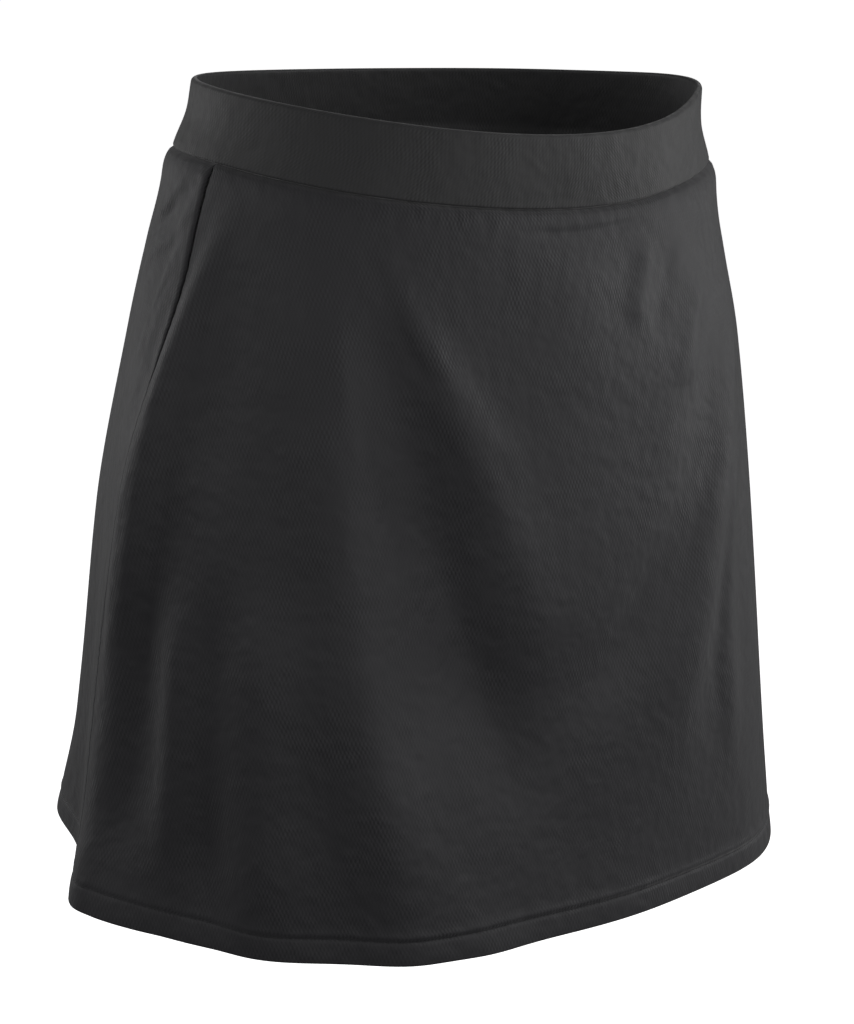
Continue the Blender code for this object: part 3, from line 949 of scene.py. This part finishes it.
# Each knit's first colour is painted shade in its stitches' hollows, and its second is the raised loops'
# tone with painted highlight.
CHARCOAL_KNIT = KnitFinish(
    name="skirt_birdseye",
    slot="skirt_knit",
    stitch=Stitch.BIRDSEYE,
    hollow_shade=(0.0161, 0.0159, 0.0177, 1.0),
    lit_yarn=(0.0353, 0.0346, 0.0385, 1.0),
    wale=0.0018,
    course=0.0042,
    depth=0.00008,
    roughness=0.62,
    sheen=0.25,
    sheen_roughness=0.45,
)
BAND_KNIT = replace(
    CHARCOAL_KNIT,
    name="waistband_birdseye",
    slot="waistband_knit",
    hollow_shade=(0.0174, 0.0173, 0.0180, 1.0),
    lit_yarn=(0.0354, 0.0352, 0.0366, 1.0),
    depth=0.00007,
    roughness=0.60,
)
SHORTS_KNIT = KnitFinish(
    name="shorts_jersey",
    slot="shorts_jersey",
    stitch=Stitch.JERSEY,
    hollow_shade=(0.0090, 0.0090, 0.0096, 1.0),
    lit_yarn=(0.0200, 0.0200, 0.0212, 1.0),
    wale=0.0009,
    course=0.0012,
    depth=0.00012,
    roughness=0.66,
    sheen=0.20,
    sheen_roughness=0.50,
)
SKIRT_THREAD = ThreadFinish(
    name="skirt_thread",
    slot="skirt_knit",
    shade=(0.010, 0.010, 0.011, 1.0),
    shine=(0.030, 0.030, 0.032, 1.0),
)
SHORTS_THREAD = ThreadFinish(
    name="shorts_thread",
    slot="shorts_jersey",
    shade=(0.008, 0.008, 0.009, 1.0),
    shine=(0.022, 0.022, 0.024, 1.0),
)


@dataclass(frozen=True)
class Waistband:
    """The band: one strip folded over its elastic, its inner edge hanging under the seam.

    The underside's rows give a level and how far the inner edge has moved in to its allowance.
    """

    columns: int = 384
    rows: int = 16
    wall: float = 0.0008
    ply_gap: float = 0.0034
    crown: float = 0.0006
    seam_inset: float = 0.0021
    corner: float = 0.0011
    allowance: float = 0.0065
    allowance_inset: float = 0.0052
    underside: tuple[tuple[float, float], ...] = (
        (-0.0012, 0.35), (0.0004, 0.85), (0.0022, 1.0), (0.0043, 1.0),
    )
    edge_inset: float = 0.0050
    tuck_level: float = 0.0002
    seam_drop: float = 0.0003
    corner_steps: int = 6
    outer_start: float = 0.0020
    fold_steps: int = 13
    inner_end: float = 0.0030
    wave: float = 0.00025
    waves_round: float = 7.0
    wave_slant: float = 60.0
    flat: tuple[float, float] = (0.760, 0.076)
    name: str = "waistband_cloth"

    def section(self) -> Numbers:
        """Returns the band's section as rows of (level, inset), from its outer seam edge."""
        radius = self.ply_gap / 2.0
        top = radius - BAND_HEIGHT
        tuck = (self.tuck_level, self.seam_inset)
        seam = [
            (-self.seam_drop - self.corner * (1.0 - np.sin(t)), self.corner * (1.0 - np.cos(t)))
            for t in np.radians(np.linspace(90.0, 0.0, self.corner_steps))
        ]
        outer = [(level, 0.0) for level in np.linspace(-self.outer_start, top, self.rows)]
        over = fold_over(top, radius, self.fold_steps, way=-1.0)[1:-1]
        inner = [(level, self.ply_gap) for level in np.linspace(top, -self.inner_end, self.rows)]
        under = [
            (level, self.ply_gap + (self.allowance_inset - self.ply_gap) * share)
            for level, share in self.underside
        ]
        edge = (self.allowance, self.edge_inset)
        return np.array([tuck, *seam, *outer, *over, *inner, *under, edge])

    def build(self) -> bpy.types.Object:
        """Returns the finished waistband."""
        section = self.section()
        angle = np.linspace(0.0, 360.0, self.columns, endpoint=False)
        level, turn = np.meshgrid(section[:, 0], angle, indexing="ij")
        inset = np.broadcast_to(section[:, 1:], level.shape)
        up = np.clip(-level / BAND_HEIGHT, 0.0, 1.0)
        soft = self.wave * np.sin(np.radians(self.waves_round * turn) + self.wave_slant * level)
        relief = self.crown * 4.0 * up * (1.0 - up) + soft * up - inset
        points = SKIRT_FORM.place(turn, level, relief)
        piece = Cloth(self.name, points[::-1], closed=True).build(self.wall, BAND_KNIT)
        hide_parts("waistband")
        return piece


class PanelSide(Enum):
    """Which half of the skirt a panel covers: its first seam, its second, and what the second's
    angle gains, in degrees, so that it lies past the first's.
    """

    FRONT = (LEFT_SEAM, RIGHT_SEAM, 0.0)
    BACK = (RIGHT_SEAM, LEFT_SEAM, 360.0)


# A panel's rows: levels and insets where it is tucked into the waist seam, levels close below it,
# and levels beside the hem's stitches and over the hem, measured from the hem's line
TUCKED_ROWS = ((-0.0006, 0.0028), (-0.0001, 0.0018), (0.0005, 0.0010), (0.0011, 0.0004))
CLOSE_ROWS = (0.0018, 0.0025, 0.0034, *np.arange(0.0043, 0.0160, 0.0012))
STITCH_ROWS = (-0.0038, -0.0028, -0.0019, -0.0011, -0.0005, 0.0, 0.0005)
HEM_ROWS = (0.0011, 0.0019, 0.0030, 0.0045, 0.0062, 0.0080, 0.0096)

# A panel's columns close to a side seam: how far from it they lie, and their insets
EDGE_COLUMNS = np.array([0.00005, 0.00012, 0.0003, 0.0007, 0.0013, 0.0022, 0.0034, 0.0050, 0.0068])
EDGE_INSETS = np.array([0.0020, 0.0010, 0.0005, 0.0002, 0.0, 0.0, 0.0, 0.0, 0.0])


@dataclass(frozen=True)
class SkirtPanel:
    """A skirt panel: its top tucked into the waist seam, its sides turned in, its hem turned up."""

    name: str
    node: str
    side: PanelSide
    seam_lift: float
    seam_notch: float
    columns: int = 190
    rows: int = 113
    wall: float = 0.0007
    fold_radius: float = 0.0009
    allowance: float = 0.0080
    seam_start: float = 0.005
    seam_groove: float = 0.0003
    groove_reach: float = 0.0008
    notch_reach: float = 0.0020
    notch_level: float = 0.030
    seam_closing: float = 0.9
    closing_level: float = 0.065
    closing_reach: float = 0.040
    edge_width: float = 0.0092
    main_start: float = 0.0180
    main_gap: float = 0.0050
    fold_steps: int = 9
    inside_start: float = 0.002
    inside_end: float = 0.0005
    inside_rows: int = 5
    flat: tuple[float, float] = (0.590, 0.366)
    area: float = 0.186
    drape: SkirtDrape = SkirtDrape()

    def section(self) -> Numbers:
        """Returns the panel's section as rows of (level, inset), from the waist seam down."""
        main = np.linspace(self.main_start, HEM_LINE - self.main_gap, self.rows)
        hem = HEM_LINE + np.array([*STITCH_ROWS, *HEM_ROWS])
        plain = [(level, 0.0) for level in (*CLOSE_ROWS, *main, *hem)]
        radius = self.fold_radius
        base = SKIRT_LENGTH - radius
        under = fold_over(base, radius, self.fold_steps)
        up = np.linspace(base - self.inside_start, HEM_LINE - self.inside_end, self.inside_rows)
        inside = [(level, 2.0 * radius) for level in up]
        return np.array([*TUCKED_ROWS, *plain, *under, *inside])

    def angles(self, level: Numbers) -> tuple[Numbers, Numbers, Numbers]:
        """Spreads the panel's columns, close together beside its seams.

        Args:
            level: The rows' levels.

        Returns:
            Rows by columns of the angle, the distance to the nearer seam and the inset there.
        """
        first_seam, second_seam, whole_turn = self.side.value
        first = first_seam.angle(level)[:, None]
        second = second_seam.angle(level)[:, None] + whole_turn
        metre = np.degrees(1.0 / SKIRT_FORM.ring(level).half_depth)[:, None]
        share = np.linspace(0.0, 1.0, self.columns)
        last = self.edge_width * metre
        middle = first + last + (second - first - 2.0 * last) * share
        edge = EDGE_COLUMNS * metre
        angle = np.hstack((first + edge, middle, second - edge[:, ::-1]))
        distance = np.minimum(angle - first, second - angle) / metre
        inset = np.concatenate((EDGE_INSETS, np.zeros(self.columns), EDGE_INSETS[::-1]))
        depth = inset * self.seam_opening(level)[:, None]
        depth[:, (0, -1)] = EDGE_INSETS[0]
        return angle, distance, depth

    def seam_opening(self, level: Numbers) -> Numbers:
        """Returns how open the side seams lie: less so lower down, where they hang flat."""
        return 1.0 - self.seam_closing * ease((level - self.closing_level) / self.closing_reach)

    def surface(self, angle: Numbers, level: Numbers, extra: Numbers) -> Numbers:
        """Returns points of the panel's outer face, moved out by an extra relief."""
        return SKIRT_FORM.place(angle, level, self.drape.relief(angle, level) + extra)

    def seam_relief(self, distance: Numbers, level: Numbers) -> Numbers:
        """Returns how the cloth beside a side seam stands proud of its allowance and puckers."""
        proud = self.seam_lift * (1.0 - ease(distance / self.allowance))
        notch = self.seam_notch * mound(distance / self.notch_reach) * mound(level / self.notch_level)
        groove = self.seam_groove * mound(distance / self.groove_reach)
        pucker = self.drape.pucker * self.drape.puckers(level) * mound(distance / self.allowance)
        strength = self.seam_opening(level) * ease(level / self.seam_start)
        return (proud - groove - notch) * strength + pucker

    def build(self) -> bpy.types.Object:
        """Returns the finished panel."""
        section = self.section()
        level = section[:, 0]
        angle, distance, side_inset = self.angles(level)
        levels = np.broadcast_to(level[:, None], angle.shape)
        inset = np.maximum(side_inset, section[:, 1:])
        extra = self.seam_relief(distance, levels) - inset
        points = self.surface(angle, levels, extra)
        piece = Cloth(self.name, points, closed=False).build(self.wall, CHARCOAL_KNIT)
        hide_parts(self.node)
        return piece


@dataclass(frozen=True)
class HemStitching:
    """The row of stitches that holds a panel's hem, sunk in its groove."""

    name: str
    panel: SkirtPanel
    pitch: float = 0.0027
    length: float = 0.0021
    sink: float = 0.00005
    arch: float = 0.00012
    steps: int = 5
    seam_clear: float = 0.6
    samples: int = 2400
    finish: ThreadFinish = SKIRT_THREAD

    def build(self) -> bpy.types.Object:
        """Returns the finished stitching."""
        first_seam, second_seam, whole_turn = self.panel.side.value
        first = float(first_seam.angle(np.array(HEM_LINE)))
        second = float(second_seam.angle(np.array(HEM_LINE))) + whole_turn
        fine = np.linspace(first + self.seam_clear, second - self.seam_clear, self.samples)
        line = self.panel.surface(fine, np.full_like(fine, HEM_LINE), np.zeros_like(fine))
        along = np.concatenate(([0.0], np.linalg.norm(np.diff(line, axis=0), axis=-1).cumsum()))
        starts = np.arange(0.0, along[-1] - self.pitch, self.pitch)
        share = np.linspace(0.0, 1.0, self.steps)
        angle = np.interp(starts[:, None] + self.length * share, along, fine)
        proud = self.arch * np.sin(np.pi * share) - self.sink
        level = np.full_like(angle, HEM_LINE)
        path = self.panel.surface(angle, level, np.broadcast_to(proud, angle.shape))
        return ThreadRun(self.name, self.finish).build(path)


@dataclass(frozen=True)
class Overlocking:
    """The thread that wraps the raw edge under the waistband, seen inside."""

    name: str = "waist_overlocking"
    pitch: float = 1.6
    top: float = 0.0012
    bottom: float = 0.0068
    inset: float = 0.0062
    steps: int = 5
    thread_radius: float = 0.00022
    finish: ThreadFinish = SKIRT_THREAD

    def build(self) -> bpy.types.Object:
        """Returns the finished overlocking, one slanted stitch after another."""
        starts = np.arange(0.0, 360.0, self.pitch)
        share = np.linspace(0.0, 1.0, self.steps)
        slant = np.where(np.arange(len(starts)) % 2 == 0, 1.0, -1.0)[:, None]
        middle = self.pitch / 2.0
        angle = starts[:, None] + middle + slant * middle * (2.0 * share - 1.0)
        level = self.top + (self.bottom - self.top) * np.broadcast_to(share, angle.shape)
        path = SKIRT_FORM.place(angle, level, np.full_like(angle, -self.inset))
        return ThreadRun(self.name, self.finish, radius=self.thread_radius).build(path)


class LegSide(Enum):
    """Which leg of the shorts: 1 is the wearer's right, -1 the left."""

    RIGHT = 1.0
    LEFT = -1.0


@dataclass(frozen=True)
class ShortsLeg:
    """One plain leg of the shorts: from the waist seam and the centre seam down to its hem."""

    name: str
    node: str
    side: LegSide
    top: float = 0.0006
    rise: float = 0.232
    rise_y_power: float = 0.60
    rise_level_power: float = 0.80
    leg_start: float = 0.246
    centre: float = 0.0860
    back_shift: float = 0.006
    half_width: float = 0.0800
    half_depth: float = 0.0930
    taper: float = 0.0030
    depth_delay: float = 1.8
    seam_gap: float = 0.0002
    outer_columns: int = 88
    inner_columns: int = 60
    rows: int = 64
    wall: float = 0.0008
    fold_radius: float = 0.0010
    fold_steps: int = 8
    hem_depth: float = 0.018
    inside_start: float = 0.003
    inside_rows: int = 6
    wrinkle: float = 0.0011
    wrinkles_round: float = 3.0
    wrinkle_slant: float = 26.0
    wrinkles_down: float = 17.0
    stitch_pitch: float = 1.9
    stitch_share: float = 0.78
    stitch_steps: int = 5
    stitch_rise: float = 0.00008
    stitch_drops: tuple[float, ...] = (0.002, 0.005)
    flat: tuple[float, float] = (0.560, 0.330)
    area: float = 0.150

    def leg(self, turn: Numbers, level: Numbers, inset: Numbers) -> Numbers:
        """Returns points of the leg's plain tube."""
        narrower = self.taper * (level - self.leg_start) / (SHORTS_LENGTH - self.leg_start)
        around = np.radians(turn)
        width, depth = self.half_width - narrower - inset, self.half_depth - narrower - inset
        return np.stack(
            (
                -self.side.value * (self.centre + width * np.sin(around)),
                self.back_shift - depth * np.cos(around),
                SEAM_LEVEL - level,
            ),
            axis=-1,
        )

    def column(self, turn: float) -> Numbers:
        """Returns one column of points, from the waist or the centre seam to inside the hem."""
        side = self.side.value
        inner = turn > 180.0
        around = np.radians(360.0 - turn)
        top = self.top
        if inner:
            top = self.top + (self.rise - self.top) * np.sin(around) ** self.rise_level_power
        share_down = np.linspace(0.0, 1.0, self.rows)
        level = top + (SHORTS_LENGTH - self.fold_radius - top) * share_down
        angle = np.full_like(level, side * turn)
        above = SHORTS_FORM.place(angle, level, np.zeros_like(level))
        if inner:
            middle = SHORTS_FORM.place(
                np.array(0.0 if np.cos(around) > 0.0 else 180.0), np.array(top), np.array(0.0)
            )
            narrowed = middle[1] * abs(np.cos(around)) ** self.rise_y_power
            above[:, 0], above[:, 1], above[:, 2] = 0.0, narrowed, middle[2] - (level - top)
        share = ease((level - top) / (self.leg_start - top))
        leg = self.leg(np.full_like(level, turn), np.maximum(level, self.leg_start), 0.0)
        mixed = above + (leg - above) * share[:, None]
        mixed[:, 1] = above[:, 1] + (leg[:, 1] - above[:, 1]) * share**self.depth_delay
        mixed[:, 2] = above[:, 2] + (SEAM_LEVEL - level - above[:, 2]) * share
        slanted = self.wrinkles_round * np.radians(turn) + self.wrinkle_slant * level + side
        swell = np.sin(slanted) * np.sin(self.wrinkles_down * level)
        mixed[:, 1] += self.wrinkle * swell * np.sin(np.pi * share_down) * np.cos(around)
        mixed[:, 0] = -side * np.maximum(-side * mixed[:, 0], self.seam_gap / 2.0)
        return np.concatenate((mixed, self.hem(turn)))

    def hem(self, turn: float) -> Numbers:
        """Returns the end of a column, turned under and up inside the leg."""
        radius = self.fold_radius
        base = SHORTS_LENGTH - radius
        under = fold_over(base, radius, self.fold_steps)[1:]
        up = np.linspace(base - self.inside_start, base - self.hem_depth, self.inside_rows)
        inside = [(level, 2.0 * radius) for level in up]
        level, inset = np.array([*under, *inside]).T
        return self.leg(np.full_like(level, turn), level, inset)

    def build(self) -> bpy.types.Object:
        """Returns the finished leg."""
        outer = np.linspace(0.0, 180.0, self.outer_columns + 1)
        inner = np.linspace(180.0, 360.0, self.inner_columns + 1)[1:-1]
        points = np.stack([self.column(turn) for turn in (*outer, *inner)], axis=1)
        if self.side is LegSide.LEFT:
            points = points[:, ::-1]
        piece = Cloth(self.name, points, closed=True).build(self.wall, SHORTS_KNIT)
        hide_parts(self.node)
        return piece

    def stitching(self) -> bpy.types.Object:
        """Returns the two rows of stitches that hold the leg's hem."""
        starts = np.arange(0.0, 360.0, self.stitch_pitch)[:, None]
        share = np.linspace(0.0, 1.0, self.stitch_steps)
        turn = starts + self.stitch_share * self.stitch_pitch * share
        top = SHORTS_LENGTH - self.fold_radius - self.hem_depth
        inset = np.full_like(turn, -self.stitch_rise)
        rows = [self.leg(turn, np.full_like(turn, top + drop), inset) for drop in self.stitch_drops]
        return ThreadRun(self.name + "_stitching", SHORTS_THREAD).build(np.concatenate(rows))


@dataclass(frozen=True)
class SoftBox:
    """A rectangular studio light that faces the garment.

    Its turn is in degrees from the camera's side towards the camera's right, and its rise is how
    many degrees it stands above the garment's middle.
    """

    name: str
    turn: float
    rise: float
    width: float
    height: float
    watts: float
    distance: float = 1.6


@dataclass(frozen=True)
class Studio:
    """The floor, the lights and the camera at the photograph's angle."""

    camera_place: Point = (-0.7730, -0.8481, 0.0859)
    aim: Point = (0.0, 0.0085, -0.1959)
    roll: float = 1.925
    lens: float = 82.16
    sensor: float = 36.0
    floor_level: float = -0.62
    floor_size: float = 160.0
    ambient: float = 0.02
    light_aim: Point = (0.0, 0.0, -0.18)
    floor: FloorFinish = FloorFinish("studio_floor", WHITE, 1.0)
    # Each box: its name, turn, rise, width, height and watts
    boxes: tuple[SoftBox, ...] = (
        SoftBox("right_key", 55.0, 10.0, 1.0, 0.7, 4.5),
        SoftBox("right_front", 25.0, 5.0, 0.7, 0.7, 2.0),
        SoftBox("right_high", 85.0, 38.0, 0.9, 0.7, 5.6),
        SoftBox("right_side", 110.0, 10.0, 0.9, 0.7, 5.8),
        SoftBox("front_fill", -8.0, 5.0, 0.9, 0.7, 2.5),
        SoftBox("left_front", -48.0, 28.0, 0.7, 0.7, 4.2),
        SoftBox("left_side", -95.0, 20.0, 0.7, 1.0, 4.8),
        SoftBox("left_back", -120.0, 5.0, 0.7, 0.7, 2.4),
    )

    def build_camera(self) -> None:
        """Adds the camera and makes it the scene's own."""
        data = bpy.data.cameras.new("camera")
        data.lens = self.lens
        data.sensor_width = self.sensor
        camera = bpy.data.objects.new("camera", data)
        look = (Vector(self.aim) - Vector(self.camera_place)).to_track_quat("-Z", "Y")
        turn = look.to_matrix().to_4x4() @ Matrix.Rotation(np.radians(self.roll), 4, "Z")
        camera.matrix_world = Matrix.Translation(self.camera_place) @ turn
        bpy.context.scene.collection.objects.link(camera)
        bpy.context.scene.camera = camera

    def build_floor(self) -> None:
        """Adds the floor, which isn't part of the garment."""
        half = self.floor_size / 2.0
        sides = ((-half, -half), (half, -half), (half, half), (-half, half))
        corners = [(x, y, self.floor_level) for x, y in sides]
        mesh = bpy.data.meshes.new("floor")
        mesh.from_pydata(corners, [], [(0, 1, 2, 3)])
        mesh.materials.append(self.floor.material())
        floor = bpy.data.objects.new("floor", mesh)
        floor.visible_diffuse = False
        floor.visible_glossy = False
        bpy.context.scene.collection.objects.link(floor)
        floor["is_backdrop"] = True

    def build_lights(self) -> None:
        """Adds the soft boxes, and lights the world round them evenly."""
        aim, up = Vector(self.light_aim), Vector((0.0, 0.0, 1.0))
        toward_camera = (Vector(self.camera_place) - Vector(self.aim)) * Vector((1.0, 1.0, 0.0))
        toward_camera.normalize()
        for box in self.boxes:
            data = bpy.data.lights.new(box.name, "AREA")
            data.shape = "RECTANGLE"
            data.size, data.size_y, data.energy = box.width, box.height, box.watts
            light = bpy.data.objects.new(box.name, data)
            level_way = Matrix.Rotation(np.radians(box.turn), 3, up) @ toward_camera
            way = level_way * np.cos(np.radians(box.rise)) + up * np.sin(np.radians(box.rise))
            light.location = aim + way * box.distance
            light.rotation_euler = (-way).to_track_quat("-Z", "Y").to_euler()
            bpy.context.scene.collection.objects.link(light)
        world = bpy.data.worlds.new("studio")
        world.use_nodes = True
        sky = world.node_tree.nodes["Background"]
        sky.inputs["Color"].default_value = WHITE
        sky.inputs["Strength"].default_value = self.ambient
        bpy.context.scene.world = world
        bpy.context.scene.view_settings.view_transform = "Standard"


def write_sizes() -> None:
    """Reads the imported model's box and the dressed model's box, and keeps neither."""
    boxes = {"cad": CAD_BOX, "visual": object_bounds()}
    plain = {name: [[float(x) for x in corner] for corner in box] for name, box in boxes.items()}


def main() -> None:
    """Builds the skort's pieces in the order in which they are sewn, then the studio."""
    pieces = [Waistband().build(), Overlocking().build()]
    panels = (
        SkirtPanel("skirt_front_cloth", "skirt_front", PanelSide.FRONT, 0.0, 0.0008),
        SkirtPanel("skirt_back_cloth", "skirt_back", PanelSide.BACK, 0.0010, 0.0),
    )
    for panel in panels:
        pieces.append(panel.build())
        pieces.append(HemStitching(panel.node + "_hem_stitching", panel).build())
    legs = (
        ShortsLeg("shorts_right_cloth", "shorts_right", LegSide.RIGHT),
        ShortsLeg("shorts_left_cloth", "shorts_left", LegSide.LEFT),
    )
    for leg in legs:
        pieces += [leg.build(), leg.stitching()]
    studio = Studio()
    studio.build_floor()
    studio.build_lights()
    studio.build_camera()
    for piece in pieces:
        log.info("%s: %d faces", piece.name, len(piece.data.polygons))
    write_sizes()


if __name__ == "__main__":
    main()
